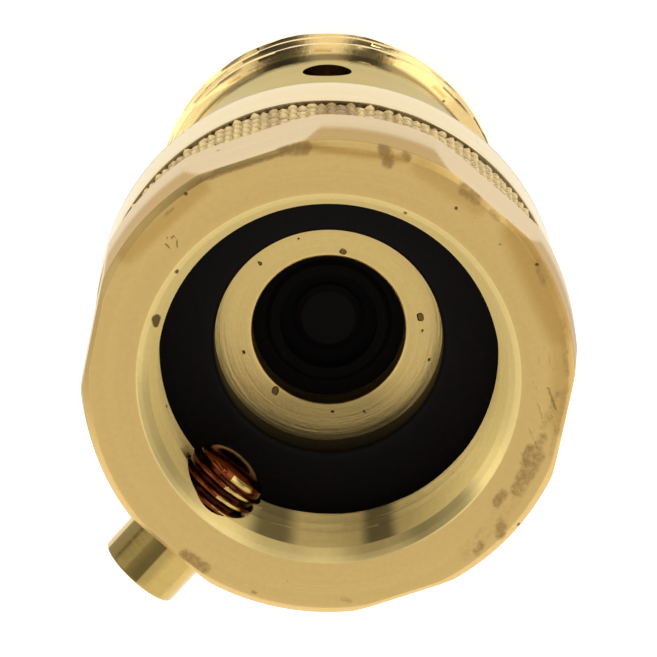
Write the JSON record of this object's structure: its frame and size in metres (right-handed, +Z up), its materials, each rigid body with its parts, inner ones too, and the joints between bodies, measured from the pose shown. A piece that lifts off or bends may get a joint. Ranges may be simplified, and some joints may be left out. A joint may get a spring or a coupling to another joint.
{
  "type": "hose bib vacuum breaker",
  "caption": "Brass hose bib vacuum breaker with a female hose socket, radial break-off set screw, spring check valve, vent ports and a male hose thread.",
  "frame": {"origin": "centre of the outlet end face, on which the part stands", "axes": "+Z up the bore from the outlet to the inlet, +X along the break-off set screw, away from the body"},
  "size_m": [0.0378, 0.0358, 0.0525],
  "materials": {
    "cast_brass": "satin",
    "turned_brass": "polished",
    "black_rubber": "satin",
    "spring_steel": "satin",
    "grey_plastic": "satin"
  },
  "bodies": {
    "root": {"inlet_body": "cast_brass", "outlet_nipple": "turned_brass", "body_gasket": "black_rubber", "hose_washer": "black_rubber", "vent_seat_sleeve": "turned_brass", "sleeve_o_ring": "black_rubber", "guide_spider": "grey_plastic", "retaining_ring": "spring_steel", "check_spring": "spring_steel"},
    "screw": {"break_off_screw": "turned_brass"},
    "seal": {"vent_seal": "black_rubber"},
    "poppet": {"disc_holder": "grey_plastic", "check_disc": "black_rubber", "disc_retainer": "grey_plastic", "stem_clip": "spring_steel"}
  },
  "joints": [
    {"name": "screw_travel", "type": "slide", "parent": "root", "child": "screw", "axis": [1, 0, 0], "range_m": [0, 0.0045]},
    {"name": "seal_travel", "type": "slide", "parent": "root", "child": "seal", "axis": [0, 0, -1], "range_m": [0, 0.00065], "stiffness_N_per_m": 200, "springref_m": -0.002},
    {"name": "check_travel", "type": "slide", "parent": "seal", "child": "poppet", "axis": [0, 0, -1], "range_m": [0, 0.003], "stiffness_N_per_m": 200, "springref_m": -0.004, "deforming": ["check_spring"]}
  ]
}
